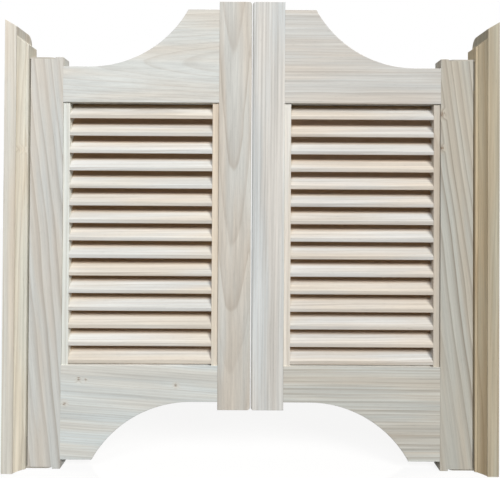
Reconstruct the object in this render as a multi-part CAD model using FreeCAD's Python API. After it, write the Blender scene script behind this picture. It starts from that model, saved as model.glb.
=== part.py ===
import FreeCAD, Part
import math
import os

# A pair of louvred cafe doors, hung between two side jambs on concealed double-action pivots.
# Millimetres. X runs across the doorway, Y from the front to the back, Z up, and the origin is
# the bottom centre of the set. Every piece is drawn for the right-hand door and mirrored for the left.

Vec = FreeCAD.Vector

# Driving dimensions: leaf
leaf_width = 431.8
leaf_thickness = 28.6
centre_gap = 1.6          # between the two meeting stiles
jamb_gap = 3.2            # between a hinge stile and its jamb
stile_width = 63.5
stile_length = 802.0
stagger = 113.0           # height of the meeting stile's foot above the hinge stile's foot
horn = 18.0               # how far a hinge stile runs past the end of a rail
meeting_horn = 15.5       # the same for a meeting stile
rail_low_height = 70.0    # a rail at its narrow end
narrow_flat = 51.0        # straight stretch of a rail's curved edge at the narrow end
wide_flat = 61.0          # and at the wide end
meeting_radius = 5.0      # edges and corners beside the centre gap
arris = 0.8               # easing of every long edge

# Louvre panel
strip_width = 12.7
strip_recess = 2.5        # strips and slats lie this far behind each face of the leaf
slat_count = 15
slat_pitch = 34.2
slat_thickness = 5.8
slat_slope = 53.0         # degrees, rising to the back: steep enough that level sight stops at the slats
slat_nose = 2.5           # radius of the upper front edge
slat_edge = 0.8           # lower back edge
slat_toe = 1.0            # lower front edge, an acute one
slat_lip = 0.3            # upper back edge, left nearly square so that no light comes past it
tenon_length = 4.0
tenon_depth = 15.0
tenon_height = 5.0

# Frame dowels
dowel_radius = 5.0
dowel_in_stile = 18.0
dowel_in_rail = 42.0
dowel_bevel = 1.0
narrow_end_dowels = (16.0, 46.0)   # heights from the opening's edge
wide_end_dowels = (30.0, 86.0)

# Jambs: a square board with a coved moulding on its inner face
board_thickness = 22.2
board_depth = 63.5
board_height = 869.0
board_bevel = 13.0        # drop of the sloping top towards the door
board_corner = 16.0       # rounding of the top's back edge
moulding_thickness = 16.8
moulding_depth = 59.0
moulding_height = 838.6
cove_fall = 11.0          # depth lost across the cove
cove_hollow = 0.85        # how far the cove sinks below its chord
cove_step = 1.0           # square step at the foot of the cove
lip_width = 5.0           # the nearly flat strip beside the leaf
lip_fall = 1.0
lip_round = 1.0           # rounding of its edge

# Pivots
axis_inset = 35.0         # pivot axis from the hinge edge of the leaf
arm_thickness = 3.0
arm_width = 24.0
plate_thickness = 2.5
plate_height = 60.0
bracket_fillet = 0.8      # inside corner between arm and plate
arm_clearance = 0.6       # between the arm and the floor of its notch
notch_clearance = 1.0     # beside the arm's round end
thrust_gap = 0.3
pin_radius = 4.0
pin_length = 50.0
pin_bevel = 0.8
running_clearance = 0.05
bush_radius = 7.0
bush_length = 28.0
top_bore_radius = 4.6     # drilling for the pin past the bush
bore_past_pin = 3.0
barrel_radius = 10.0
barrel_wall = 1.5
barrel_height = 56.0
barrel_floor = 10.0       # length of the barrel's own bearing
spring_wire = 1.25
spring_radius = 6.25
spring_knuckle = 1.3      # radius of the bend where a tang leaves the coil
spring_pitch = 4.2
spring_turns = 6.5
spring_lift = 4.0         # lowest turn above the barrel's floor
tang_clearance = 0.05
tang_end_gap = 0.3        # from the upper tang's end to the barrel's bore

# Countersunk screws, one size throughout, and the customer's wall screws
screw_radius = 1.75
screw_head_radius = 3.5
screw_length = 32.0
screw_point = 4.0
screw_tip_radius = 0.3
recess_width = 0.9
recess_length = 4.0
recess_depth = 1.2
bracket_screw_heights = (20.0, 45.0)
moulding_screw_heights = (200.0, 400.0, 600.0)
wall_hole_radius = 2.5
wall_sink_radius = 5.0
wall_hole_heights = (100.0, 300.0, 500.0, 700.0)

# Places worked out from them
meeting_edge = centre_gap / 2
hinge_edge = meeting_edge + leaf_width
rail_start = meeting_edge + stile_width
rail_end = hinge_edge - stile_width
moulding_face = hinge_edge + jamb_gap
board_face = moulding_face + moulding_thickness
wall_face = board_face + board_thickness
pivot_x = hinge_edge - axis_inset
half_leaf = leaf_thickness / 2
half_louvre = half_leaf - strip_recess
leaf_top = stile_length + stagger
meeting_foot = stagger + horn - meeting_horn
opening_top = stile_length - horn - rail_low_height
opening_bottom = leaf_top - opening_top
strip_inner_start = rail_start + strip_width
strip_inner_end = rail_end - strip_width
slat_rise = 2 * half_louvre * math.tan(math.radians(slat_slope))
slat_edge_height = slat_thickness / math.cos(math.radians(slat_slope))
notch_depth = arm_thickness + arm_clearance
notch_start = pivot_x - arm_width / 2 - notch_clearance

past = 1.0                # how far a cut runs beyond the surface it opens

os.makedirs("parts", exist_ok=True)


def export(name, shape):
    shape.exportStep("parts/" + name + ".step")


def export_both(name, shape):
    # The right-hand piece as drawn and its mirror image for the left-hand door.
    export("right_" + name, shape)
    export("left_" + name, mirrored(shape))


def mirrored(shape):
    return shape.mirror(Vec(0, 0, 0), Vec(1, 0, 0))


def block(x0, x1, y0, y1, z0, z1):
    return Part.makeBox(x1 - x0, y1 - y0, z1 - z0, Vec(x0, y0, z0))


def rod(radius, start, length, direction):
    return Part.makeCylinder(radius, length, start, direction)


def bevelled_rod(radius, start, length, direction, bevel):
    # A round pin with both ends bevelled.
    body = rod(radius, start + direction * bevel, length - 2 * bevel, direction)
    near = Part.makeCone(radius - bevel, radius, bevel, start, direction)
    far = Part.makeCone(radius, radius - bevel, bevel, start + direction * (length - bevel), direction)
    return body.fuse([near, far]).removeSplitter()


def flat_outline(points, radii):
    # A flat face through the points, with each corner rounded by its own radius. 0 is a sharp corner.
    corners = []
    for i, corner in enumerate(points):
        if radii[i] == 0:
            corners.append((corner, None, corner))
            continue
        back = (points[i - 1] - corner).normalize()
        ahead = (points[(i + 1) % len(points)] - corner).normalize()
        half = back.getAngle(ahead) / 2
        inward = (back + ahead).normalize()
        reach = radii[i] / math.tan(half)
        middle = corner + inward * (radii[i] / math.sin(half) - radii[i])
        corners.append((corner + back * reach, middle, corner + ahead * reach))
    edges = []
    for i, (start, middle, end) in enumerate(corners):
        if middle is not None:
            edges.append(Part.Arc(start, middle, end).toShape())
        following = corners[(i + 1) % len(corners)][0]
        edges.append(Part.LineSegment(end, following).toShape())
    return Part.Face(Part.Wire(edges))


def eased(solid, radius, wanted):
    return solid.makeFillet(radius, [edge for edge in solid.Edges if wanted(edge)])


def lies_at(edge, axis, value):
    return all(abs(getattr(v.Point, axis) - value) < 1e-4 for v in edge.Vertexes)


def on_a_face(edge):
    # True for an edge of the leaf's front or back face.
    return lies_at(edge, "y", -half_leaf) or lies_at(edge, "y", half_leaf)


def turned_over(shape):
    # The leaf is the same after half a turn about its middle, so its lower rail is its upper one turned over.
    middle = Vec((meeting_edge + hinge_edge) / 2, 0, leaf_top / 2)
    turned = shape.copy()
    turned.rotate(middle, Vec(0, 1, 0), 180)
    return turned


# Frame of the leaf

def dowel_places():
    # Each dowel's start and direction, from the stile into the rail: the upper rail's, then the lower's.
    upper = []
    for height in wide_end_dowels:
        upper.append((rail_start - dowel_in_stile, opening_top + height, 1))
    for height in narrow_end_dowels:
        upper.append((rail_end + dowel_in_stile, opening_top + height, -1))
    lower = [(meeting_edge + hinge_edge - x, leaf_top - z, -way) for x, z, way in upper]
    return upper + lower


def dowel(place):
    x, z, way = place
    length = dowel_in_stile + dowel_in_rail
    return bevelled_rod(dowel_radius, Vec(x, 0, z), length, Vec(way, 0, 0), dowel_bevel)


def dowel_hole(place):
    x, z, way = place
    return rod(dowel_radius, Vec(x, 0, z), dowel_in_stile + dowel_in_rail, Vec(way, 0, 0))


def meeting_stile(dowel_holes):
    foot = meeting_foot
    head = leaf_top - meeting_foot + stagger
    stile = block(meeting_edge, rail_start, -half_leaf, half_leaf, foot, head)
    stile = eased(stile, meeting_radius, lambda e: lies_at(e, "x", meeting_edge))
    stile = eased(stile, arris, lambda e: on_a_face(e) and (
        lies_at(e, "x", rail_start) or lies_at(e, "z", foot) or lies_at(e, "z", head)))
    return stile.cut(dowel_holes)


def hinge_stile(dowel_holes):
    stile = block(rail_end, hinge_edge, -half_leaf, half_leaf, 0, stile_length)
    stile = eased(stile, arris, lambda e: True)
    deep = half_leaf + past
    lower_notch = block(notch_start, hinge_edge + past, -deep, deep, -past, notch_depth)
    upper_notch = block(notch_start, hinge_edge + past, -deep, deep,
                        stile_length - notch_depth, stile_length + past)
    barrel_depth = arm_thickness + thrust_gap + barrel_height
    barrel_bore = rod(barrel_radius, Vec(pivot_x, 0, 0), barrel_depth, Vec(0, 0, 1))
    bush_depth = arm_thickness + thrust_gap + bush_length
    bush_bore = rod(bush_radius, Vec(pivot_x, 0, stile_length), bush_depth, Vec(0, 0, -1))
    pin_bore = rod(top_bore_radius, Vec(pivot_x, 0, stile_length), pin_length + bore_past_pin, Vec(0, 0, -1))
    return stile.cut([lower_notch, upper_notch, barrel_bore, bush_bore, pin_bore] + dowel_holes)


def top_rail(dowel_holes):
    # Upper edge: low flat beside the hinge stile, a concave arc that leaves it level, then a sharp corner
    # to the high flat beside the meeting stile.
    low = opening_top + rail_low_height
    high = low + stagger
    arc_start = rail_end - narrow_flat
    arc_end = rail_start + wide_flat
    span = arc_start - arc_end
    radius = (span ** 2 + stagger ** 2) / (2 * stagger)
    turn = math.asin(span / radius)

    def at(x, z):
        return Vec(x, -half_leaf, z)

    halfway = at(arc_start - radius * math.sin(turn / 2), low + radius * (1 - math.cos(turn / 2)))
    straight = [at(arc_end, high), at(rail_start, high), at(rail_start, opening_top),
                at(rail_end, opening_top), at(rail_end, low), at(arc_start, low)]
    edges = [Part.LineSegment(a, b).toShape() for a, b in zip(straight, straight[1:])]
    edges.append(Part.Arc(straight[-1], halfway, straight[0]).toShape())
    rail = Part.Face(Part.Wire(edges)).extrude(Vec(0, leaf_thickness, 0))
    rail = eased(rail, arris, lambda e: on_a_face(e)
                 and not lies_at(e, "x", rail_start) and not lies_at(e, "x", rail_end))
    return rail.cut(dowel_holes)


# Louvre panel

def slat_corners(half_depth, height, foot):
    # The slat's section as four corners: plumb front and back edges, rising to the back.
    slope = math.tan(math.radians(slat_slope))
    front = foot + (half_louvre - half_depth) * slope + (slat_edge_height - height) / 2
    back = front + 2 * half_depth * slope
    return [(-half_depth, front), (half_depth, back),
            (half_depth, back + height), (-half_depth, front + height)]


def slat_tenon(foot, x):
    corners = [Vec(x, y, z) for y, z in slat_corners(tenon_depth / 2, tenon_height, foot)]
    return flat_outline(corners, [0, 0, 0, 0]).extrude(Vec(tenon_length, 0, 0))


def slat(foot):
    corners = [Vec(strip_inner_start, y, z) for y, z in slat_corners(half_louvre, slat_edge_height, foot)]
    blade = flat_outline(corners, [slat_toe, slat_edge, slat_lip, slat_nose])
    blade = blade.extrude(Vec(strip_inner_end - strip_inner_start, 0, 0))
    tenons = [slat_tenon(foot, strip_inner_start - tenon_length), slat_tenon(foot, strip_inner_end)]
    blade = blade.fuse(tenons)
    above = block(rail_start, rail_end, -half_leaf, half_leaf, opening_top, opening_top + slat_pitch)
    return blade.cut(above).removeSplitter()   # only the top slat reaches the rail and is trimmed to it


def slat_foot(i):
    return opening_top - slat_pitch * (i + 1)


def slat_strip(x0, x1):
    strip = block(x0, x1, -half_louvre, half_louvre, opening_bottom, opening_top)
    strip = eased(strip, arris, lambda e: abs(e.Length - (opening_top - opening_bottom)) < 1e-4)
    mortises = []
    for i in range(slat_count):
        mortises.append(slat_tenon(slat_foot(i), strip_inner_start - tenon_length))
        mortises.append(slat_tenon(slat_foot(i), strip_inner_end))
    return strip.cut(mortises)


# Screws

def screw_body(start, direction):
    # start is the centre of the head's flat face.
    head_height = screw_head_radius - screw_radius
    head = Part.makeCone(screw_head_radius, screw_radius, head_height, start, direction)
    shank_length = screw_length - head_height - screw_point
    shank = rod(screw_radius, start + direction * head_height, shank_length, direction)
    point_start = start + direction * (screw_length - screw_point)
    point = Part.makeCone(screw_radius, screw_tip_radius, screw_point, point_start, direction)
    return head.fuse([shank, point]).removeSplitter()


def screw(start, direction):
    # A cross recess in the head. Every screw here lies along X.
    depth = recess_depth * direction.x
    x0, x1 = sorted((start.x, start.x + depth))
    arms = []
    for deep, high in ((recess_length / 2, recess_width / 2), (recess_width / 2, recess_length / 2)):
        arms.append(block(x0, x1, start.y - deep, start.y + deep, start.z - high, start.z + high))
    return screw_body(start, direction).cut(arms)


def bracket_screw_places():
    heights = list(bracket_screw_heights) + [stile_length - h for h in bracket_screw_heights]
    return [(Vec(moulding_face, 0, z), Vec(1, 0, 0)) for z in heights]


def moulding_screw_places():
    return [(Vec(wall_face, 0, z), Vec(-1, 0, 0)) for z in moulding_screw_heights]


def wall_holes():
    sink_depth = wall_sink_radius - wall_hole_radius
    holes = []
    for z in wall_hole_heights:
        start = Vec(moulding_face, 0, z)
        sink = Part.makeCone(wall_sink_radius, wall_hole_radius, sink_depth, start, Vec(1, 0, 0))
        holes.append(sink)
        holes.append(rod(wall_hole_radius, start, wall_face - moulding_face, Vec(1, 0, 0)))
    return holes


# Jambs

def jamb_board(holes):
    half = board_depth / 2
    corners = [Vec(board_face, -half, 0), Vec(wall_face, -half, 0), Vec(wall_face, -half, board_height),
               Vec(board_face, -half, board_height - board_bevel)]
    board = flat_outline(corners, [0, 0, 0, 0]).extrude(Vec(0, board_depth, 0))
    board = eased(board, board_corner, lambda e: lies_at(e, "y", half)
                  and min(v.Point.z for v in e.Vertexes) > board_height - board_bevel - past)
    # The arrises away from the moulding and the wall, where the board shows.
    board = eased(board, arris, lambda e: lies_at(e, "y", -half)
                  and not lies_at(e, "z", 0) and not lies_at(e, "x", board_face))
    return board.cut(holes)


def moulding_edges(place):
    # The section's front from the board to the inner face: cove, step and lip. place turns x and a distance
    # from the middle of the section into a point.
    half = moulding_depth / 2
    cove_foot = half - cove_fall
    lip = cove_foot - cove_step
    step_x = moulding_face + lip_width
    run = board_face - step_x
    sink = cove_hollow / math.hypot(run, cove_fall)
    hollow = place((board_face + step_x) / 2 + sink * cove_fall, (half + cove_foot) / 2 - sink * run)
    corners = [place(step_x, cove_foot), place(step_x, lip), place(moulding_face, lip - lip_fall)]
    edges = [Part.Arc(place(board_face, half), hollow, corners[0]).toShape()]
    return edges + [Part.LineSegment(a, b).toShape() for a, b in zip(corners, corners[1:])]


def closed_face(edges, points):
    # A flat face bounded by the edges and by straight lines through the points.
    lines = [Part.LineSegment(a, b).toShape() for a, b in zip(points, points[1:])]
    return Part.Face(Part.Wire(Part.__sortEdges__(edges + lines)))


def moulding(holes):
    half = moulding_depth / 2
    lip_half = half - cove_fall - cove_step - lip_fall
    front = moulding_edges(lambda x, y: Vec(x, -y, 0))
    back = moulding_edges(lambda x, y: Vec(x, y, 0))
    outer = Part.LineSegment(Vec(board_face, -half, 0), Vec(board_face, half, 0)).toShape()
    inner = [Vec(moulding_face, -lip_half, 0), Vec(moulding_face, lip_half, 0)]
    length = closed_face(front + back + [outer], inner).extrude(Vec(0, 0, moulding_height))

    # The same section is returned over the top.
    top = moulding_edges(lambda x, y: Vec(x, -half, moulding_height - half + y))
    under = [Vec(moulding_face, -half, moulding_height - half + lip_half), Vec(moulding_face, -half, 0),
             Vec(board_face, -half, 0), Vec(board_face, -half, moulding_height)]
    side = closed_face(top, under).extrude(Vec(0, moulding_depth, 0))
    shaped = eased(length.common(side), lip_round,
                   lambda e: lies_at(e, "x", moulding_face) and not lies_at(e, "z", 0))
    return shaped.cut(holes)


# Pivots

def bracket():
    # The lower bracket: an arm under the stile with a round end about the pivot axis, and a plate
    # let into the moulding.
    half = arm_width / 2
    plate_back = moulding_face + plate_thickness
    corner = [Vec(pivot_x, -half, 0), Vec(plate_back, -half, 0),
              Vec(plate_back, half, 0), Vec(pivot_x, half, 0)]
    edges = [Part.LineSegment(a, b).toShape() for a, b in zip(corner, corner[1:])]
    edges.append(Part.Arc(corner[3], Vec(pivot_x - half, 0, 0), corner[0]).toShape())
    arm = Part.Face(Part.Wire(edges)).extrude(Vec(0, 0, arm_thickness))
    plate = block(moulding_face, plate_back, -half, half, 0, plate_height)
    shape = arm.fuse(plate).removeSplitter()
    shape = eased(shape, bracket_fillet,
                  lambda e: lies_at(e, "x", moulding_face) and lies_at(e, "z", arm_thickness))
    pin_hole = rod(pin_radius, Vec(pivot_x, 0, 0), arm_thickness, Vec(0, 0, 1))
    return shape.cut(pin_hole)


def upper(shape):
    # The lower hardware turned over to the head of the stile.
    turned = shape.copy()
    turned.rotate(Vec(0, 0, stile_length / 2), Vec(1, 0, 0), 180)
    return turned


def plate_mortise():
    half = arm_width / 2
    return block(moulding_face, moulding_face + plate_thickness, -half, half, 0, plate_height)


def spring_floor():
    return arm_thickness + thrust_gap + barrel_floor + spring_lift


def pivot_pin():
    # Pressed into the arm. The cross hole takes the spring's lower tang.
    pin = bevelled_rod(pin_radius, Vec(pivot_x, 0, 0), pin_length, Vec(0, 0, 1), pin_bevel)
    tang_hole = rod(spring_wire + tang_clearance, Vec(pivot_x - pin_radius, 0, spring_floor()),
                    2 * pin_radius, Vec(1, 0, 0))
    return pin.cut(tang_hole)


def top_bush():
    start = Vec(pivot_x, 0, stile_length - arm_thickness - thrust_gap)
    down = Vec(0, 0, -1)
    bore = rod(pin_radius + running_clearance, start, bush_length, down)
    return rod(bush_radius, start, bush_length, down).cut(bore)


def spring_end():
    # Height and angle of the spring's upper end.
    return spring_floor() + spring_pitch * spring_turns, 2 * math.pi * spring_turns


def spring_barrel():
    # A cup with its own bearing in the floor. A slot from the rim holds the spring's upper tang.
    up = Vec(0, 0, 1)
    start = Vec(pivot_x, 0, arm_thickness + thrust_gap)
    cavity = rod(barrel_radius - barrel_wall, start + up * barrel_floor, barrel_height - barrel_floor, up)
    bearing = rod(pin_radius + running_clearance, start, barrel_floor, up)
    tang_height, angle = spring_end()
    reach = barrel_radius + past
    slot = block(0, reach, -spring_wire, spring_wire, tang_height, start.z + barrel_height)
    slot = slot.fuse(rod(spring_wire, Vec(0, 0, tang_height), reach, Vec(1, 0, 0)))
    slot.rotate(Vec(0, 0, 0), up, math.degrees(angle))
    slot.translate(Vec(pivot_x, 0, 0))
    return rod(barrel_radius, start, barrel_height, up).cut([cavity, bearing, slot])


def torsion_spring():
    # Drawn about the origin and then lifted into the barrel.
    lift = spring_pitch * spring_turns
    angle = spring_end()[1]
    outward_way = Vec(math.cos(angle), math.sin(angle), 0)
    upper_end = Vec(0, 0, lift) + outward_way * spring_radius
    helix = Part.makeHelix(spring_pitch, lift, spring_radius)
    section = Part.Wire(Part.makeCircle(spring_wire, Vec(spring_radius, 0, 0), Vec(0, 1, 0)))
    coil = Part.Wire(helix.Edges).makePipeShell([section], True, True)
    inward = rod(spring_wire, Vec(spring_radius, 0, 0), spring_radius, Vec(-1, 0, 0))
    outward = rod(spring_wire, upper_end, barrel_radius - spring_radius - tang_end_gap, outward_way)
    knuckles = [Part.makeSphere(spring_knuckle, end) for end in (Vec(spring_radius, 0, 0), upper_end)]
    spring = coil.fuse([inward, outward] + knuckles)
    spring.translate(Vec(pivot_x, 0, spring_floor()))
    return spring


# Build and write every piece

dowel_list = dowel_places()
stile_and_rail_holes = [dowel_hole(place) for place in dowel_list]
export_both("hinge_stile", hinge_stile(stile_and_rail_holes))
export_both("meeting_stile", meeting_stile(stile_and_rail_holes))
half_the_holes = stile_and_rail_holes[:len(dowel_list) // 2]
upper_rail = top_rail(half_the_holes)
export_both("top_rail", upper_rail)
export_both("bottom_rail", turned_over(upper_rail))
export_both("frame_dowels", Part.Compound([dowel(place) for place in dowel_list]))

export_both("meeting_slat_strip", slat_strip(rail_start, strip_inner_start))
export_both("hinge_slat_strip", slat_strip(strip_inner_end, rail_end))
for i in range(slat_count):
    export_both("slat_%02d" % (i + 1), slat(slat_foot(i)))

screw_places = bracket_screw_places() + moulding_screw_places()
screw_holes = [screw_body(start, direction) for start, direction in screw_places]
lower_bracket = bracket()
mortises = [plate_mortise(), upper(plate_mortise())]
export_both("jamb_board", jamb_board(screw_holes + wall_holes()))
export_both("jamb_moulding", moulding(screw_holes + wall_holes() + mortises))
export_both("bottom_bracket", lower_bracket.cut(screw_holes))
export_both("top_bracket", upper(lower_bracket).cut(screw_holes))
screws = [screw(start, direction) for start, direction in screw_places]
export("jamb_screws", Part.Compound(screws + [mirrored(s) for s in screws]))

pins = [pivot_pin(), upper(pivot_pin())]
export("pivot_pins", Part.Compound(pins + [mirrored(p) for p in pins]))
export_both("top_bush", top_bush())
export_both("spring_barrel", spring_barrel())
export_both("torsion_spring", torsion_spring())
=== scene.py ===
import bmesh
import bpy
import math
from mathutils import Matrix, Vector


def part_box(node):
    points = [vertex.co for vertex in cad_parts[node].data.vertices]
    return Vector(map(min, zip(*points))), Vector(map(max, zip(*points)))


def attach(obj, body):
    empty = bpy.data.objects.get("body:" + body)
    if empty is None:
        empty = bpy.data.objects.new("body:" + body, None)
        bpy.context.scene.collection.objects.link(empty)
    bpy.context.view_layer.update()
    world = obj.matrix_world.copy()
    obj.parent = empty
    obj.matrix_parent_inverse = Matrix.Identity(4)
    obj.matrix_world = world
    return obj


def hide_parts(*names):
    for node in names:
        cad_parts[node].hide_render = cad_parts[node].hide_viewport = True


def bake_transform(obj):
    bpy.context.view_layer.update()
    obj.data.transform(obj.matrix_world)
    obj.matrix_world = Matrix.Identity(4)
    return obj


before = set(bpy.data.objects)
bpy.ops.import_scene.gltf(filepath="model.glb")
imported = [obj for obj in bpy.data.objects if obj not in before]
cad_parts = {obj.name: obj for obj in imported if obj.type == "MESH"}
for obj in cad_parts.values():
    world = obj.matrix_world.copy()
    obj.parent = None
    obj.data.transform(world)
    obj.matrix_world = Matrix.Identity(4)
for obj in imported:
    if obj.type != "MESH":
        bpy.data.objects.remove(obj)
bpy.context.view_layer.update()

# A pair of louvred cafe doors of raw, unfinished wood between two coved jambs.
# Metres: x across the doorway, y from front to back, z up. All colours are sRGB, 0 to 255.

leaves = ("left", "right")


# Nodes, for materials and for geometry

class Field:
    # a socket whose maths adds Math nodes to its tree
    def __init__(self, tree, socket):
        self.tree = tree
        self.socket = socket

    def output(self, name):
        return Field(self.tree, findSocket(self.socket.node.outputs, name))

    def maths(self, operation, *others):
        feeds = dict(enumerate((self,) + others))
        return self.tree.node("ShaderNodeMath", {"operation": operation}, feeds)

    def __add__(self, other):
        return self.maths("ADD", other)

    def __radd__(self, other):
        return self.maths("ADD", other)

    def __sub__(self, other):
        return self.maths("SUBTRACT", other)

    def __rsub__(self, other):
        return self.tree.node("ShaderNodeMath", {"operation": "SUBTRACT"}, {0: other, 1: self})

    def __mul__(self, other):
        return self.maths("MULTIPLY", other)

    def __rmul__(self, other):
        return self.maths("MULTIPLY", other)

    def __truediv__(self, other):
        return self.maths("DIVIDE", other)

    def __pow__(self, other):
        return self.maths("POWER", other)


class NodeMaker:
    def __init__(self, nodeTree):
        self.nodeTree = nodeTree
        nodeTree.nodes.clear()

    def node(self, kind, settings=None, sockets=None):
        made = self.nodeTree.nodes.new(kind)
        for name, value in (settings or {}).items():
            setattr(made, name, value)
        for name, value in (sockets or {}).items():
            target = findSocket(made.inputs, name)
            if isinstance(value, Field):
                self.nodeTree.links.new(value.socket, target)
            else:
                target.default_value = value
        given = [socket for socket in made.outputs if socket.enabled]
        return Field(self, given[0]) if given else None


def findSocket(sockets, name):
    if isinstance(name, int):
        return sockets[name]
    return next(socket for socket in sockets if socket.name == name and socket.enabled)


def linear(colour):
    parts = [c / 255 for c in colour]
    return [c / 12.92 if c <= 0.04045 else ((c + 0.055) / 1.055) ** 2.4 for c in parts] + [1.0]


def mixColours(tree, factor, first, second):
    return tree.node("ShaderNodeMix", {"data_type": "RGBA"}, {"Factor": factor, "A": first, "B": second})


def ease(tree, value, low, high, start=0.0, end=1.0):
    # smooth step of value from low to high
    return tree.node("ShaderNodeMapRange", {"interpolation_type": "SMOOTHSTEP"},
                     {"Value": value, "From Min": low, "From Max": high, "To Min": start, "To Max": end})


def stretchedNoise(tree, place, across, along, detail=2.0):
    # noise with its own frequencies across z and along it, which is the grain's way in a trunk
    scaled = tree.node("ShaderNodeVectorMath", {"operation": "MULTIPLY"},
                       {0: place, 1: (across, across, along)})
    return tree.node("ShaderNodeTexNoise", {}, {"Vector": scaled, "Scale": 1.0, "Detail": detail})


def newMaterial(name):
    material = bpy.data.materials.new(name)
    material.use_nodes = True
    return material, NodeMaker(material.node_tree)


def finishMaterial(tree, shader):
    tree.node("ShaderNodeOutputMaterial", {}, {"Surface": shader})


# Wood

rawWood = {
    # shifts from the board's own tone
    "coolShift": (-1, 1, 1),           # to its broad cooler patches
    "warmShift": (1, -4, -10),         # and to its warmer ones
    "ringShift": (-46, -58, -68),      # to late wood, the dark line of each year
    "knotShift": (-84, -112, -134),
    # how strongly each mark shows
    "ringDepth": 0.58,
    "knotDepth": 0.75,
    "fibreDepth": 0.15,
    "streakDepth": 0.18,
    "fleckDepth": 0.18,
    "endShade": 0.80,
    # the trunk's years
    "ringGap": 0.0055,
    "wander": 0.010,                   # how far the trunk's bends carry the rings
    "ripple": 0.0022,                  # and how far their small waves do
    "paceChange": 0.37,                # how soon good years turn into poor ones
    "paceSpread": 1.6,                 # in years
    "lineSharpness": 3.0,
    "lineFade": 0.88,                  # where in its year the dark line starts to fade
    "faintestLine": 0.35,
    # noise frequencies across and along the grain, per metre, and the octaves where there are more than two
    "bends": (6.0, 2.4),
    "ripples": (45.0, 7.0),
    "patches": (28.0, 2.4),
    "streaks": (150.0, 3.0),
    "fibres": (750.0, 11.0, 3.0),
    "flecks": (2300.0, 70.0),
    "crumbs": (520.0, 160.0),
    # levels between which a mark comes up
    "patchLevels": (0.36, 0.66),
    "fleckLevels": (0.60, 0.74),
    "endGrainLevels": (0.75, 0.95),    # cosine between the face's direction and the grain's
    # painted shade: faces turned down past these levels are darkened
    "paintedUndersideLevels": (-0.30, -0.55),     # upward part of the face's direction
    # distances from a knot's centre, in knot sizes
    "knotRaggedness": 0.7,
    "knotBend": (3.6, 0.5),            # the years bend round it from the first to the second
    "knotBulge": 1.6,
    "knotHalo": (6.0, 1.0),
    "knotHeart": (1.4, -0.2),
    "knotCrumble": 4.5,
    # the surface, with how far each mark lifts it in bump distances
    "bump": 0.25,
    "bumpDistance": 0.0004,
    "fibreRelief": 0.6,
    "lineRelief": 0.4,
    "fleckRelief": -0.7,
    "shine": 0.35,
    "roughness": 0.62,
    "fibreRoughness": 0.16,
    "lineRoughness": -0.08,
}


def tinted(colour, shift):
    return linear([max(part + change, 0) for part, change in zip(colour, shift)])


def placeInTrunk(tree, place, wood):
    # coordinates about the trunk that the board comes from: heart is a point on its pith, along its direction
    turn = Vector(wood["along"]).to_track_quat("Z", "Y").to_euler()
    return tree.node("ShaderNodeMapping", {"vector_type": "TEXTURE"},
                     {"Vector": place, "Location": wood["heart"], "Rotation": turn})


def distanceFromPith(tree, trunk, ripples, wood):
    parts = tree.node("ShaderNodeSeparateXYZ", {}, {"Vector": trunk})
    x, y = parts.output("X"), parts.output("Y")
    bends = stretchedNoise(tree, trunk, *wood["bends"])
    return (x * x + y * y) ** 0.5 + (bends - 0.5) * wood["wander"] + (ripples - 0.5) * wood["ripple"]


def distancesFromKnots(tree, place, ripples, wood):
    # for each knot, a ragged distance in knot sizes and its own size
    distances = []
    for centre, size in wood.get("knots", ()):
        straight = tree.node("ShaderNodeVectorMath", {"operation": "DISTANCE"}, {0: place, 1: centre})
        ragged = (ripples - 0.5) * wood["knotRaggedness"]
        distances.append((straight.output("Value") / size + ragged, size))
    return distances


def lateWood(tree, radius, wood):
    # 1 on the dark line at the end of a strong year
    years = radius / wood["ringGap"]
    pace = tree.node("ShaderNodeTexNoise", {"noise_dimensions": "1D"},
                     {"W": years * wood["paceChange"], "Scale": 1.0})
    years = years + pace * wood["paceSpread"]
    part = years.maths("FRACT")
    strength = tree.node("ShaderNodeTexWhiteNoise", {"noise_dimensions": "1D"}, {"W": years.maths("FLOOR")})
    strength = wood["faintestLine"] + (1 - wood["faintestLine"]) * strength.output("Value")
    return part ** wood["lineSharpness"] * ease(tree, part, 1.0, wood["lineFade"]) * strength


def markedColour(tree, trunk, late, endGrain, knots, wood):
    # the board's tone with its patches, its rings and its knots
    pale = wood["pale"]
    patches = ease(tree, stretchedNoise(tree, trunk, *wood["patches"]), *wood["patchLevels"])
    for near, _ in knots:
        patches = patches.maths("MAXIMUM", ease(tree, near, *wood["knotHalo"]))
    colour = mixColours(tree, patches, tinted(pale, wood["coolShift"]), tinted(pale, wood["warmShift"]))
    colour = mixColours(tree, late * wood["ringDepth"] * (1 + endGrain), colour,
                        tinted(pale, wood["ringShift"]))
    crumbs = stretchedNoise(tree, trunk, *wood["crumbs"]) if knots else None
    for near, _ in knots:
        heartwood = ease(tree, near + (crumbs - 0.5) * wood["knotCrumble"], *wood["knotHeart"])
        colour = mixColours(tree, heartwood * wood["knotDepth"], colour, tinted(pale, wood["knotShift"]))
    return colour


def paintedShadeColour(tree, colour, coordinates, wood):
    # painted shade: browner deep along y, where the slat above shades the face, and darker on faces turned
    # down, where less light falls
    depth = tree.node("ShaderNodeSeparateXYZ", {}, {"Vector": coordinates.output("Object")}).output("Y")
    colour = mixColours(tree, ease(tree, depth, *wood["reach"]), colour, linear(wood["paintedRecessShade"]))
    upward = tree.node("ShaderNodeSeparateXYZ", {}, {"Vector": coordinates.output("Normal")}).output("Z")
    return mixColours(tree, ease(tree, upward, *wood["paintedUndersideLevels"]), colour, linear(wood["paintedUndersideShade"]))


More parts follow.
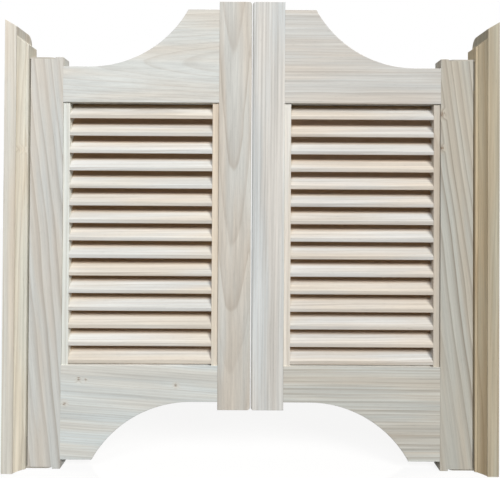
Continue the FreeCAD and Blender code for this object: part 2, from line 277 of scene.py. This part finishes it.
def woodMaterial(name, wood):
    wood = {**rawWood, **wood}
    material, tree = newMaterial(name)
    coordinates = tree.node("ShaderNodeTexCoord")
    place = coordinates.output("Object")
    if "shiftedBy" in wood:
        shift = tree.node("ShaderNodeAttribute", {"attribute_name": wood["shiftedBy"]}).output("Vector")
        place = tree.node("ShaderNodeVectorMath", {"operation": "ADD"}, {0: place, 1: shift})
    trunk = placeInTrunk(tree, place, wood)
    ripples = stretchedNoise(tree, trunk, *wood["ripples"])
    radius = distanceFromPith(tree, trunk, ripples, wood)
    knots = distancesFromKnots(tree, place, ripples, wood)
    for near, size in knots:
        radius = radius + ease(tree, near, *wood["knotBend"], 0.0, size * wood["knotBulge"])
    late = lateWood(tree, radius, wood)

    lengthwise = tree.node("ShaderNodeVectorMath", {"operation": "DOT_PRODUCT"},
                           {0: coordinates.output("Normal"), 1: Vector(wood["along"]).normalized()})
    endGrain = ease(tree, lengthwise.output("Value").maths("ABSOLUTE"), *wood["endGrainLevels"])
    fibres = stretchedNoise(tree, trunk, *wood["fibres"])
    streaks = stretchedNoise(tree, trunk, *wood["streaks"])
    flecks = ease(tree, stretchedNoise(tree, trunk, *wood["flecks"]), *wood["fleckLevels"])

    shade = 1 + (fibres - 0.5) * wood["fibreDepth"] * 2 + (streaks - 0.5) * wood["streakDepth"] * 2
    shade = shade - flecks * wood["fleckDepth"]
    shade = shade * (1 - endGrain * (1 - wood["endShade"]))
    if "toneFrom" in wood:
        shade = shade * tree.node("ShaderNodeAttribute", {"attribute_name": wood["toneFrom"]}).output("Fac")
    colour = markedColour(tree, trunk, late, endGrain, knots, wood)
    colour = tree.node("ShaderNodeVectorMath", {"operation": "SCALE"}, {0: colour, "Scale": shade})
    # painted shade: the louvre's deep faces and its undersides are darkened in the colour
    if "paintedUndersideShade" in wood:
        colour = paintedShadeColour(tree, colour, coordinates, wood)

    height = fibres * wood["fibreRelief"] + late * wood["lineRelief"] + flecks * wood["fleckRelief"]
    bump = tree.node("ShaderNodeBump", {},
                     {"Height": height, "Strength": wood["bump"], "Distance": wood["bumpDistance"]})
    roughness = wood["roughness"] + fibres * wood["fibreRoughness"] + late * wood["lineRoughness"]
    shader = tree.node("ShaderNodeBsdfPrincipled", {}, {
        "Base Color": colour, "Roughness": roughness, "Normal": bump, "Specular IOR Level": wood["shine"]})
    finishMaterial(tree, shader)
    return material


leafFace = -0.0143                     # y of the leaves' front faces

# Each board's own trunk. A heart behind the middle of a board draws arches, and one beside it draws
# straight lines. A knot is a centre and a size.
boards = {
    "left_hinge_stile": {
        "heart": (-0.500, 0.040, 0.6), "along": (-0.100, 0.020, 1.0), "pale": (210, 210, 207),
        "ringGap": 0.014, "ringDepth": 0.80, "wander": 0.020},
    "left_meeting_stile": {
        "heart": (-0.034, 0.062, 0.850), "along": (0.004, -0.034, 1.0), "pale": (211, 209, 204),
        "ringDepth": 0.66, "streakDepth": 0.24},
    "right_meeting_stile": {
        "heart": (0.150, 0.050, 0.4), "along": (0.004, 0.006, 1.0), "pale": (219, 221, 221),
        "wander": 0.006, "streakDepth": 0.36},
    "right_hinge_stile": {
        "heart": (0.330, 0.030, 0.50), "along": (-0.135, 0.012, 1.0), "pale": (198, 196, 188),
        "ringGap": 0.011, "ringDepth": 1.0, "wander": 0.016, "ringShift": (-64, -76, -84),
        "knots": (((0.3725, leafFace, 0.694), 0.0045), ((0.3720, leafFace, 0.628), 0.0030))},
    "left_top_rail": {
        "heart": (-0.120, 0.036, 0.794), "along": (1.0, -0.050, 0.004), "pale": (220, 221, 218),
        "ringDepth": 0.48},
    "right_top_rail": {
        "heart": (0.200, 0.060, 0.660), "along": (1.0, 0.008, 0.006), "pale": (214, 213, 210),
        "streakDepth": 0.26},
    "left_bottom_rail": {
        "heart": (-0.240, 0.030, 0.500), "along": (1.0, 0.004, -0.070), "pale": (218, 223, 223),
        "streakDepth": 0.28,
        "knots": (((-0.334, leafFace, 0.175), 0.0034), ((-0.320, leafFace, 0.173), 0.0022),
                  ((-0.361, leafFace, 0.126), 0.0028), ((-0.145, leafFace, 0.163), 0.0028))},
    "right_bottom_rail": {
        "heart": (0.240, 0.050, -0.060), "along": (1.0, -0.006, 0.003), "pale": (209, 209, 204),
        "ringGap": 0.0075, "ringDepth": 0.95, "wander": 0.012, "streakDepth": 0.42},
    "left_meeting_slat_strip": {
        "heart": (-0.080, 0.090, 0.4), "along": (0.004, 0.010, 1.0), "pale": (234, 227, 215)},
    "left_hinge_slat_strip": {
        "heart": (-0.420, 0.060, 0.4), "along": (0.004, 0.008, 1.0), "pale": (232, 234, 229)},
    "right_meeting_slat_strip": {
        "heart": (0.120, 0.070, 0.4), "along": (-0.004, 0.008, 1.0), "pale": (236, 234, 229)},
    "right_hinge_slat_strip": {
        "heart": (0.350, 0.080, 0.4), "along": (0.004, 0.010, 1.0), "pale": (211, 206, 197)},
    "left_jamb_board": {
        "heart": (-0.520, 0.050, 0.4), "along": (0.002, 0.010, 1.0), "pale": (223, 219, 210)},
    "right_jamb_board": {
        "heart": (0.530, 0.060, 0.4), "along": (0.004, 0.012, 1.0), "pale": (194, 186, 167),
        "streakDepth": 0.32},
    "left_jamb_moulding": {
        "heart": (-0.470, 0.060, 0.5), "along": (0.006, 0.020, 1.0), "pale": (220, 217, 206),
        "streakDepth": 0.26, "knots": (((-0.443, -0.028, 0.620), 0.004),)},
    "right_jamb_moulding": {
        "heart": (0.480, 0.070, 0.5), "along": (-0.006, 0.018, 1.0), "pale": (215, 199, 170)},
}

dowels = {"heart": (0.0, 0.3, 0.4), "along": (1.0, 0.0, 0.0), "pale": (206, 178, 146)}


def dressNode(node, material):
    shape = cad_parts[node].data
    shape.materials.clear()
    shape.materials.append(material)


for node, wood in boards.items():
    dressNode(node, woodMaterial(node + "_wood", wood))
dowelWood = woodMaterial("dowel_beech", dowels)
for side in leaves:
    dressNode(side + "_frame_dowels", dowelWood)
print("boards have their wood")


# Hardware

bareMetal = {
    "spangleScale": 420.0,
    "spangleShare": 0.2,
    "grimeScale": 90.0,
    "grimeDetail": 4.0,
    "grimeLevels": (0.42, 0.70),
    "grimeShare": 0.7,
    "dullRoughness": 0.18,
    "scratches": (3000.0, 120.0),      # noise frequencies across z and along it
    "bump": 0.12,
    "bumpDistance": 0.0001,
}

metals = {
    "pin_steel": {"colour": (190, 190, 192), "dark": (140, 140, 144), "roughness": 0.22},
    "barrel_steel": {"colour": (176, 178, 180), "dark": (128, 130, 134), "roughness": 0.38},
    "spring_steel": {"colour": (120, 118, 114), "dark": (78, 74, 70), "roughness": 0.30},
    "screw_zinc": {"colour": (206, 200, 178), "dark": (150, 140, 118), "roughness": 0.30},
}


def metalMaterial(name, metal):
    metal = {**bareMetal, **metal}
    material, tree = newMaterial(name)
    place = tree.node("ShaderNodeTexCoord").output("Object")
    spangle = tree.node("ShaderNodeTexVoronoi", {}, {"Vector": place, "Scale": metal["spangleScale"]})
    grey = tree.node("ShaderNodeSeparateXYZ", {}, {"Vector": spangle.output("Color")})
    grime = tree.node("ShaderNodeTexNoise", {},
                      {"Vector": place, "Scale": metal["grimeScale"], "Detail": metal["grimeDetail"]})
    dull = ease(tree, grime, *metal["grimeLevels"]) * metal["grimeShare"] + grey * metal["spangleShare"]
    colour = mixColours(tree, dull, linear(metal["colour"]), linear(metal["dark"]))
    scratches = stretchedNoise(tree, place, *metal["scratches"])
    bump = tree.node("ShaderNodeBump", {},
                     {"Height": scratches, "Strength": metal["bump"], "Distance": metal["bumpDistance"]})
    roughness = metal["roughness"] + dull * metal["dullRoughness"]
    shader = tree.node("ShaderNodeBsdfPrincipled", {}, {
        "Base Color": colour, "Metallic": 1.0, "Roughness": roughness, "Normal": bump})
    finishMaterial(tree, shader)
    return material


thinCoat = {
    "cloudScale": 120.0,
    "cloudShare": 0.5,
    "cloudShade": 0.88,
    "grainDetail": 3.0,
    "grainRoughness": 0.2,
    "bump": 0.15,
    "bumpDistance": 0.0002,
}

coatings = {
    "bush_nylon": {"colour": (226, 222, 208), "roughness": 0.40, "grainScale": 1500.0},
    "bracket_enamel": {"colour": (196, 191, 180), "roughness": 0.55, "grainScale": 900.0},
}


def coatingMaterial(name, coating):
    coating = {**thinCoat, **coating}
    material, tree = newMaterial(name)
    place = tree.node("ShaderNodeTexCoord").output("Object")
    grain = tree.node("ShaderNodeTexNoise", {},
                      {"Vector": place, "Scale": coating["grainScale"], "Detail": coating["grainDetail"]})
    cloud = tree.node("ShaderNodeTexNoise", {}, {"Vector": place, "Scale": coating["cloudScale"]})
    shaded = [part * coating["cloudShade"] for part in coating["colour"]]
    tint = mixColours(tree, cloud * coating["cloudShare"], linear(coating["colour"]), linear(shaded))
    bump = tree.node("ShaderNodeBump", {},
                     {"Height": grain, "Strength": coating["bump"], "Distance": coating["bumpDistance"]})
    roughness = coating["roughness"] + grain * coating["grainRoughness"]
    shader = tree.node("ShaderNodeBsdfPrincipled", {}, {
        "Base Color": tint, "Roughness": roughness, "Normal": bump})
    finishMaterial(tree, shader)
    return material


metalLooks = {name: metalMaterial(name, metal) for name, metal in metals.items()}
dressNode("pivot_pins", metalLooks["pin_steel"])
coatingLooks = {name: coatingMaterial(name, coating) for name, coating in coatings.items()}
for side in leaves:
    dressNode(side + "_bottom_bracket", coatingLooks["bracket_enamel"])
    dressNode(side + "_top_bracket", coatingLooks["bracket_enamel"])
    dressNode(side + "_spring_barrel", metalLooks["barrel_steel"])
    dressNode(side + "_top_bush", coatingLooks["bush_nylon"])
print("hardware has its finishes")


# Geometry Nodes: a tree's inputs are a dictionary of name to value, and its result becomes a plain mesh.

def socketKind(value):
    if isinstance(value, bpy.types.Material):
        return "NodeSocketMaterial"
    return "NodeSocketInt" if isinstance(value, int) else "NodeSocketFloat"


def runTree(name, buildTree, sizes, carrierPoints=()):
    group = bpy.data.node_groups.new(name + "Tree", "GeometryNodeTree")
    group.interface.new_socket(name="Geometry", in_out="INPUT", socket_type="NodeSocketGeometry")
    for label, value in sizes.items():
        group.interface.new_socket(name=label, in_out="INPUT", socket_type=socketKind(value))
    group.interface.new_socket(name="Geometry", in_out="OUTPUT", socket_type="NodeSocketGeometry")
    tree = NodeMaker(group)
    given = tree.node("NodeGroupInput")
    result = buildTree(tree, {label: given.output(label) for label in ("Geometry", *sizes)})
    tree.node("NodeGroupOutput", {}, {"Geometry": result})

    base = bpy.data.meshes.new(name + "Base")
    base.from_pydata(list(carrierPoints), [], [])
    carrier = bpy.data.objects.new(name + "Carrier", base)
    bpy.context.scene.collection.objects.link(carrier)
    modifier = carrier.modifiers.new("tree", "NODES")
    modifier.node_group = group
    for socket in group.interface.items_tree:
        if socket.in_out == "INPUT" and socket.name in sizes:
            modifier[socket.identifier] = sizes[socket.name]
    shaped = carrier.evaluated_get(bpy.context.evaluated_depsgraph_get())
    shape = bpy.data.meshes.new_from_object(shaped)
    shape.name = name
    carrier.modifiers.remove(modifier)
    bpy.data.objects.remove(carrier)
    piece = bpy.data.objects.new(name, shape)
    bpy.context.scene.collection.objects.link(piece)
    return piece


def byIndex(tree, values):
    # a field that takes its value from the point's index
    index = tree.node("GeometryNodeInputIndex")
    total = 0
    for i, value in enumerate(values):
        total = index.maths("COMPARE", i, 0.1) * value + total
    return total


def softEdges(tree, shape, sharpAngle=math.radians(32)):
    # smooth faces, with every edge past the angle sharp
    angle = tree.node("GeometryNodeInputMeshEdgeAngle")
    shape = tree.node("GeometryNodeSetShadeSmooth", {"domain": "FACE"},
                      {"Geometry": shape, "Shade Smooth": True})
    return tree.node("GeometryNodeSetShadeSmooth", {"domain": "EDGE"},
                     {"Geometry": shape, "Selection": angle.maths("GREATER_THAN", sharpAngle),
                      "Shade Smooth": False})


# Slats

slats = {
    "count": 15,
    "pitch": 0.0342,
    "slope": math.radians(53.0),
    "thickness": 0.0058,
    "noseRadius": 0.0025,              # upper front edge
    "toeRadius": 0.0010,               # lower front edge
    "lipRadius": 0.0003,               # upper back edge
    "backRadius": 0.0008,              # lower back edge
    "tenonReach": 0.004,
    "tenonDepth": 0.015,
    "tenonThickness": 0.0031,
    "tenonRoot": 0.0005,               # how far a tenon starts inside its slat
    "cornerPoints": 6,
    "unevenTurn": math.radians(0.35),
    "unevenTone": 0.035,
    "seed": 7,
    "pale": {"left": (219, 217, 212), "right": (217, 214, 209)},
    "trunkShift": (0.6, 0.03, 0.04),   # each slat is from its own part of the trunk
    "heartDepth": 0.075,               # y of the trunk's pith
    "wood": {
        "along": (1.0, 0.012, 0.008), "shiftedBy": "slatShift", "toneFrom": "slatTone",
        # painted shade colours, for faces turned down and for faces deep behind the slat above
        "paintedUndersideShade": (150, 116, 82), "paintedRecessShade": (194, 162, 126),
        "reach": (-0.0036, 0.0048),    # y between which the painted recess shade comes up
        "coolShift": (-2, 1, 3), "warmShift": (2, -4, -12),
        "ringDepth": 0.55, "streakDepth": 0.24, "wander": 0.014,
    },
}


def slatBlade(tree, halfDepth, slope, height, radii, reach, start):
    # a bar along x whose front and back edges are plumb. The sweep turns its section by half a turn.
    rise = halfDepth * slope
    corners = []
    for depth, lift, half in ((halfDepth, rise, 0.5), (-1 * halfDepth, -1 * rise, 0.5),
                              (-1 * halfDepth, -1 * rise, -0.5), (halfDepth, rise, -0.5)):
        corners.append(tree.node("ShaderNodeCombineXYZ", {}, {"X": depth, "Y": lift + height * half}))
    section = tree.node("GeometryNodeCurvePrimitiveQuadrilateral", {"mode": "POINTS"},
                        {"Point %d" % (i + 1): corner for i, corner in enumerate(corners)})
    section = tree.node("GeometryNodeFilletCurve", {"mode": "POLY"},
                        {"Curve": section, "Count": slats["cornerPoints"], "Radius": byIndex(tree, radii)})
    first = tree.node("ShaderNodeCombineXYZ", {}, {"X": start})
    last = tree.node("ShaderNodeCombineXYZ", {}, {"X": start + reach})
    line = tree.node("GeometryNodeCurvePrimitiveLine", {}, {"Start": first, "End": last})
    return tree.node("GeometryNodeCurveToMesh", {},
                     {"Curve": line, "Profile Curve": section, "Fill Caps": True})


def louvreTree(tree, given):
    slope = given["Slope"].maths("TANGENT")
    cosine = given["Slope"].maths("COSINE")
    height = given["Thickness"] / cosine
    tenonHeight = given["Tenon thickness"] / cosine
    radii = [given["Toe radius"], given["Back radius"], given["Lip radius"], given["Nose radius"]]
    shapes = [slatBlade(tree, given["Half depth"], slope, height, radii, given["Length"], 0.0)]
    root = given["Tenon root"]
    for start in (-1 * given["Tenon reach"], given["Length"] - root):
        shapes.append(slatBlade(tree, given["Tenon half depth"], slope, tenonHeight, [0.0] * 4,
                                given["Tenon reach"] + root, start))
    joined = tree.node("GeometryNodeJoinGeometry")
    for shape in reversed(shapes):
        tree.nodeTree.links.new(shape.socket, joined.socket.node.inputs["Geometry"])

    index = tree.node("GeometryNodeInputIndex")
    place = tree.node("ShaderNodeCombineXYZ", {},
                      {"X": given["Start"], "Z": given["Top slat"] - index * given["Pitch"]})
    points = tree.node("GeometryNodePoints", {}, {"Count": given["Count"], "Position": place})
    seed = given["Seed"]
    turn = tree.node("FunctionNodeRandomValue", {"data_type": "FLOAT"},
                     {"Min": -1 * given["Uneven turn"], "Max": given["Uneven turn"], "Seed": seed})
    turned = tree.node("ShaderNodeCombineXYZ", {}, {"X": turn})
    row = tree.node("GeometryNodeInstanceOnPoints", {},
                    {"Points": points, "Instance": joined, "Rotation": turned})
    shift = tree.node("FunctionNodeRandomValue", {"data_type": "FLOAT_VECTOR"},
                      {"Min": [-part for part in slats["trunkShift"]], "Max": slats["trunkShift"],
                       "Seed": seed + 1})
    tone = tree.node("FunctionNodeRandomValue", {"data_type": "FLOAT"},
                     {"Min": 1 - given["Uneven tone"], "Max": 1 + given["Uneven tone"], "Seed": seed + 2})
    row = tree.node("GeometryNodeStoreNamedAttribute", {"data_type": "FLOAT_VECTOR", "domain": "INSTANCE"},
                    {"Geometry": row, "Name": "slatShift", "Value": shift})
    row = tree.node("GeometryNodeStoreNamedAttribute", {"data_type": "FLOAT", "domain": "INSTANCE"},
                    {"Geometry": row, "Name": "slatTone", "Value": tone})
    row = softEdges(tree, tree.node("GeometryNodeRealizeInstances", {}, {"Geometry": row}))
    return tree.node("GeometryNodeSetMaterial", {}, {"Geometry": row, "Material": given["Wood"]})


def trimAbove(piece, level):
    # the top slat is cut to the underside of the rail
    shape = bmesh.new()
    shape.from_mesh(piece.data)
    everything = shape.verts[:] + shape.edges[:] + shape.faces[:]
    cut = bmesh.ops.bisect_plane(shape, geom=everything, plane_co=(0, 0, level), plane_no=(0, 0, 1),
                                 clear_outer=True)
    rim = [item for item in cut["geom_cut"] if isinstance(item, bmesh.types.BMEdge)]
    bmesh.ops.holes_fill(shape, edges=rim, sides=0)
    shape.to_mesh(piece.data)
    shape.free()


def makeLouvre(side):
    ends = [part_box(side + "_" + strip + "_slat_strip") for strip in ("meeting", "hinge")]
    start = min(high.x for low, high in ends)
    end = max(low.x for low, high in ends)
    low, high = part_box(side + "_slat_02")
    middle = (low.z + high.z) / 2
    depth = high.y - low.y
    wood = woodMaterial(side + "_slat_wood", {
        **slats["wood"], "heart": (0.0, slats["heartDepth"], middle), "pale": slats["pale"][side]})
    piece = runTree(side + "_louvre_slats", louvreTree, {
        "Count": slats["count"], "Pitch": slats["pitch"], "Start": start, "Length": end - start,
        "Top slat": middle + slats["pitch"], "Half depth": depth / 2, "Slope": slats["slope"],
        "Thickness": slats["thickness"], "Nose radius": slats["noseRadius"],
        "Toe radius": slats["toeRadius"], "Lip radius": slats["lipRadius"],
        "Back radius": slats["backRadius"], "Tenon reach": slats["tenonReach"],
        "Tenon half depth": slats["tenonDepth"] / 2, "Tenon thickness": slats["tenonThickness"],
        "Tenon root": slats["tenonRoot"], "Uneven turn": slats["unevenTurn"],
        "Uneven tone": slats["unevenTone"], "Seed": slats["seed"] + leaves.index(side), "Wood": wood})
    trimAbove(piece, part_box(side + "_hinge_slat_strip")[1].z)
    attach(piece, side + "_leaf")
    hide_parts(*["%s_slat_%02d" % (side, i + 1) for i in range(slats["count"])])


for side in leaves:
    makeLouvre(side)
print("louvres stand")


# Screws

screws = {
    "headRadius": 0.0035,
    "shankRadius": 0.00175,
    "tipRadius": 0.0003,
    "length": 0.032,
    "point": 0.004,
    "recessLength": 0.0040,
    "recessWidth": 0.0009,
    "recessDepth": 0.0012,
    "bracketHeights": (0.020, 0.045),  # from each end of the stile
    "mouldingHeights": (0.200, 0.400, 0.600),
    "sides": 28,
    "seed": 3,
}


def screwTree(tree, given):
    # drawn along z from the head's face, then turned to point along x, towards the middle or away from it
    headHeight = given["Head radius"] - given["Shank radius"]
    steps = [0.0, headHeight, given["Length"] - given["Point"], given["Length"]]
    radii = [given["Head radius"], given["Shank radius"], given["Shank radius"], given["Tip radius"]]
    line = tree.node("GeometryNodeCurvePrimitiveLine")
    line = tree.node("GeometryNodeResampleCurve", {}, {"Curve": line, "Count": len(steps)})
    place = tree.node("ShaderNodeCombineXYZ", {}, {"Z": byIndex(tree, steps)})
    line = tree.node("GeometryNodeSetPosition", {}, {"Geometry": line, "Position": place})
    circle = tree.node("GeometryNodeCurvePrimitiveCircle", {}, {"Resolution": screws["sides"], "Radius": 1.0})
    body = tree.node("GeometryNodeCurveToMesh", {},
                     {"Curve": line, "Profile Curve": circle, "Scale": byIndex(tree, radii),
                      "Fill Caps": True})
    arms = tree.node("GeometryNodeJoinGeometry")
    length, width, depth = given["Recess length"], given["Recess width"], given["Recess depth"]
    for x, y in ((length, width), (width, length)):
        size = tree.node("ShaderNodeCombineXYZ", {}, {"X": x, "Y": y, "Z": depth * 2})
        arm = tree.node("GeometryNodeMeshCube", {}, {"Size": size})
        tree.nodeTree.links.new(arm.socket, arms.socket.node.inputs["Geometry"])
    screw = tree.node("GeometryNodeMeshBoolean", {"operation": "DIFFERENCE", "solver": "EXACT"},
                      {"Mesh 1": body, "Mesh 2": arms, "Self Intersection": True})

    place = tree.node("GeometryNodeInputPosition")
    across = tree.node("ShaderNodeSeparateXYZ", {}, {"Vector": place}).output("X")
    inward = across.maths("ABSOLUTE").maths("GREATER_THAN", given["Wall side"])
    way = across.maths("SIGN") * (1 - 2 * inward)
    spin = tree.node("FunctionNodeRandomValue", {"data_type": "FLOAT"},
                     {"Min": 0.0, "Max": math.pi, "Seed": given["Seed"]})
    spun = tree.node("FunctionNodeEulerToRotation", {},
                     {"Euler": tree.node("ShaderNodeCombineXYZ", {}, {"Z": spin})})
    aimed = tree.node("FunctionNodeEulerToRotation", {},
                      {"Euler": tree.node("ShaderNodeCombineXYZ", {}, {"Y": way * (math.pi / 2)})})
    turned = tree.node("FunctionNodeRotateRotation", {"rotation_space": "LOCAL"},
                       {"Rotation": aimed, "Rotate By": spun})
    placed = tree.node("GeometryNodeInstanceOnPoints", {},
                       {"Points": given["Geometry"], "Instance": screw, "Rotation": turned})
    placed = softEdges(tree, tree.node("GeometryNodeRealizeInstances", {}, {"Geometry": placed}))
    return tree.node("GeometryNodeSetMaterial", {}, {"Geometry": placed, "Material": given["Steel"]})


def screwPlaces():
    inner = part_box("right_jamb_moulding")[0].x
    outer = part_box("right_jamb_board")[1].x
    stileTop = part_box("right_hinge_stile")[1].z
    heights = list(screws["bracketHeights"]) + [stileTop - height for height in screws["bracketHeights"]]
    places = []
    for way in (1, -1):
        places += [(way * inner, 0.0, height) for height in heights]
        places += [(way * outer, 0.0, height) for height in screws["mouldingHeights"]]
    return places, (inner + outer) / 2


def makeScrews():
    places, wallSide = screwPlaces()
    piece = runTree("jamb_fixing_screws", screwTree, {
        "Head radius": screws["headRadius"], "Shank radius": screws["shankRadius"],
        "Tip radius": screws["tipRadius"], "Length": screws["length"], "Point": screws["point"],
        "Recess length": screws["recessLength"], "Recess width": screws["recessWidth"],
        "Recess depth": screws["recessDepth"], "Wall side": wallSide, "Seed": screws["seed"],
        "Steel": metalLooks["screw_zinc"]}, places)
    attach(piece, "jambs")
    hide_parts("jamb_screws")


makeScrews()
print("screws are in")


# Torsion springs

springs = {
    "wire": 0.00125,
    "coilRadius": 0.00625,
    "turns": 6.5,
    "pointsPerTurn": 30,
    "knuckle": 0.0013,                 # radius of the bends where the tangs leave the coil
    "tangGap": 0.0003,                 # from the outer tang's end to the stile around the barrel
    "wireSides": 12,
    "knucklePoints": 2,
}


def springTree(tree, given):
    # the wire's line runs from the pin's axis out to the coil, up the coil, and out to the barrel's slot
    index = tree.node("GeometryNodeInputIndex")
    coilPoints = given["Turns"] * given["Points per turn"] + 1
    share = ((index - 1) / (coilPoints - 1)).maths("MAXIMUM", 0.0).maths("MINIMUM", 1.0)
    angle = share * given["Turns"] * math.tau
    radius = given["Coil radius"] * index.maths("GREATER_THAN", 0.5)
    radius = radius + given["Outer tang"] * index.maths("GREATER_THAN", coilPoints + 0.5)
    place = tree.node("ShaderNodeCombineXYZ", {}, {
        "X": given["Pivot"] + given["Way"] * radius * angle.maths("COSINE"),
        "Y": radius * angle.maths("SINE"), "Z": given["Lowest turn"] + share * given["Rise"]})
    line = tree.node("GeometryNodeCurvePrimitiveLine")
    line = tree.node("GeometryNodeResampleCurve", {}, {"Curve": line, "Count": coilPoints + 2})
    line = tree.node("GeometryNodeSetPosition", {}, {"Geometry": line, "Position": place})
    line = tree.node("GeometryNodeFilletCurve", {"mode": "POLY"},
                     {"Curve": line, "Count": springs["knucklePoints"], "Radius": given["Knuckle"],
                      "Limit Radius": True})
    section = tree.node("GeometryNodeCurvePrimitiveCircle", {},
                        {"Resolution": springs["wireSides"], "Radius": given["Wire"]})
    wire = tree.node("GeometryNodeCurveToMesh", {},
                     {"Curve": line, "Profile Curve": section, "Fill Caps": True})
    wire = softEdges(tree, tree.node("GeometryNodeRealizeInstances", {}, {"Geometry": wire}))
    return tree.node("GeometryNodeSetMaterial", {}, {"Geometry": wire, "Material": given["Steel"]})


def makeSpring(side):
    # the lower tang sits in the pin and the upper one in the barrel's slot; in the real door the upper one
    # turns with the leaf and winds the coil
    low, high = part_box(side + "_torsion_spring")
    barrelLow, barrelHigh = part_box(side + "_spring_barrel")
    pivot = (barrelLow.x + barrelHigh.x) / 2
    lowest = low.z + springs["knuckle"]
    highest = high.z - springs["knuckle"]
    outerTang = (barrelHigh.x - barrelLow.x) / 2 - springs["coilRadius"] - springs["tangGap"]
    piece = runTree(side + "_return_spring", springTree, {
        "Pivot": pivot, "Way": -1.0 if side == "left" else 1.0, "Turns": springs["turns"],
        "Points per turn": springs["pointsPerTurn"], "Coil radius": springs["coilRadius"],
        "Outer tang": outerTang, "Lowest turn": lowest, "Rise": highest - lowest,
        "Knuckle": springs["knuckle"], "Wire": springs["wire"], "Steel": metalLooks["spring_steel"]})
    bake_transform(piece)
    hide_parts(side + "_torsion_spring")


for side in leaves:
    makeSpring(side)
print("springs are wound")


# Studio

studio = {
    "floorSize": 14.0,
    "floorDrop": 0.0006,               # just under the jambs' feet
    "floorWhite": (246, 246, 245),
    "floorBounce": (112, 111, 109),    # the floor's colour for the light that it throws back
    "whiteness": 0.86,                 # share of the floor's look that is plain white
    "ambient": 0.07,
    "sunDistance": 3.0,                # for the viewport only
}

suns = {
    "keyLight": {"towards": (-0.39, 0.55, -0.48), "strength": 2.56, "angle": 25, "colour": (255, 253, 249)},
    "backLight": {"towards": (-0.16, -0.60, -0.80), "strength": 1.3, "angle": 4, "colour": (255, 250, 242)},
}

softbox = {
    "place": (-0.98, -2.08, 2.33),
    "target": (0.0, 0.0, 0.46),
    "size": 0.9,
    "power": 34.0,
    "colour": (250, 251, 255),
}

view = {
    "place": (-0.0028, -0.9073, 0.526),
    "lens": 32.96,
    "sensor": 36.0,
    "shiftY": -0.0861,
    "pitch": 0.0072,                   # radians above level
    "roll": -0.0059,
}


def seenPlainly(tree):
    # 1 where the camera looks, also in a mirror or through glass
    path = tree.node("ShaderNodeLightPath")
    seen = path.output("Is Camera Ray").maths("MAXIMUM", path.output("Is Glossy Ray"))
    return seen.maths("MAXIMUM", path.output("Is Transmission Ray"))


def makeFloor():
    half = studio["floorSize"] / 2
    level = -studio["floorDrop"]
    corners = [(-half, -half, level), (half, -half, level), (half, half, level), (-half, half, level)]
    shape = bpy.data.meshes.new("studioFloor")
    shape.from_pydata(corners, [], [(0, 1, 2, 3)])
    floor = bpy.data.objects.new("studioFloor", shape)
    bpy.context.scene.collection.objects.link(floor)
    material, tree = newMaterial("studio_floor")
    seen = seenPlainly(tree)
    colour = mixColours(tree, seen, linear(studio["floorBounce"]), linear(studio["floorWhite"]))
    paper = tree.node("ShaderNodeBsdfDiffuse", {}, {"Color": colour})
    white = tree.node("ShaderNodeEmission", {}, {"Color": (1.0, 1.0, 1.0, 1.0), "Strength": 1.0})
    shader = tree.node("ShaderNodeMixShader", {}, {"Fac": seen * studio["whiteness"], 1: paper, 2: white})
    finishMaterial(tree, shader)
    shape.materials.append(material)


def makeWorld():
    world = bpy.data.worlds.new("studioWorld")
    world.use_nodes = True
    bpy.context.scene.world = world
    tree = NodeMaker(world.node_tree)
    pure = (1.0, 1.0, 1.0, 1.0)
    soft = tree.node("ShaderNodeBackground", {}, {"Color": pure, "Strength": studio["ambient"]})
    white = tree.node("ShaderNodeBackground", {}, {"Color": pure, "Strength": 1.0})
    both = tree.node("ShaderNodeMixShader", {}, {"Fac": seenPlainly(tree), 1: soft, 2: white})
    tree.node("ShaderNodeOutputWorld", {}, {"Surface": both})


def hangLight(name, light, place, towards):
    holder = bpy.data.objects.new(name, light)
    holder.location = place
    holder.rotation_euler = Vector(towards).to_track_quat("-Z", "Y").to_euler()
    bpy.context.scene.collection.objects.link(holder)


def makeSun(name, sun):
    light = bpy.data.lights.new(name, "SUN")
    light.energy = sun["strength"]
    light.angle = math.radians(sun["angle"])
    light.color = linear(sun["colour"])[:3]
    hangLight(name, light, Vector(sun["towards"]) * -studio["sunDistance"], sun["towards"])


def makeSoftbox():
    light = bpy.data.lights.new("softbox", "AREA")
    light.energy = softbox["power"]
    light.size = softbox["size"]
    light.color = linear(softbox["colour"])[:3]
    hangLight("softbox", light, softbox["place"], Vector(softbox["target"]) - Vector(softbox["place"]))


def makeCamera():
    lens = bpy.data.cameras.new("camera")
    lens.lens = view["lens"]
    lens.sensor_width = view["sensor"]
    lens.shift_y = view["shiftY"]
    camera = bpy.data.objects.new("camera", lens)
    camera.location = view["place"]
    camera.rotation_euler = (math.pi / 2 + view["pitch"], view["roll"], 0.0)
    bpy.context.scene.collection.objects.link(camera)
    bpy.context.scene.camera = camera


makeFloor()
makeWorld()
for name, sun in suns.items():
    makeSun(name, sun)
makeSoftbox()
makeCamera()
bpy.context.scene.view_settings.view_transform = "Standard"
print("studio is lit")
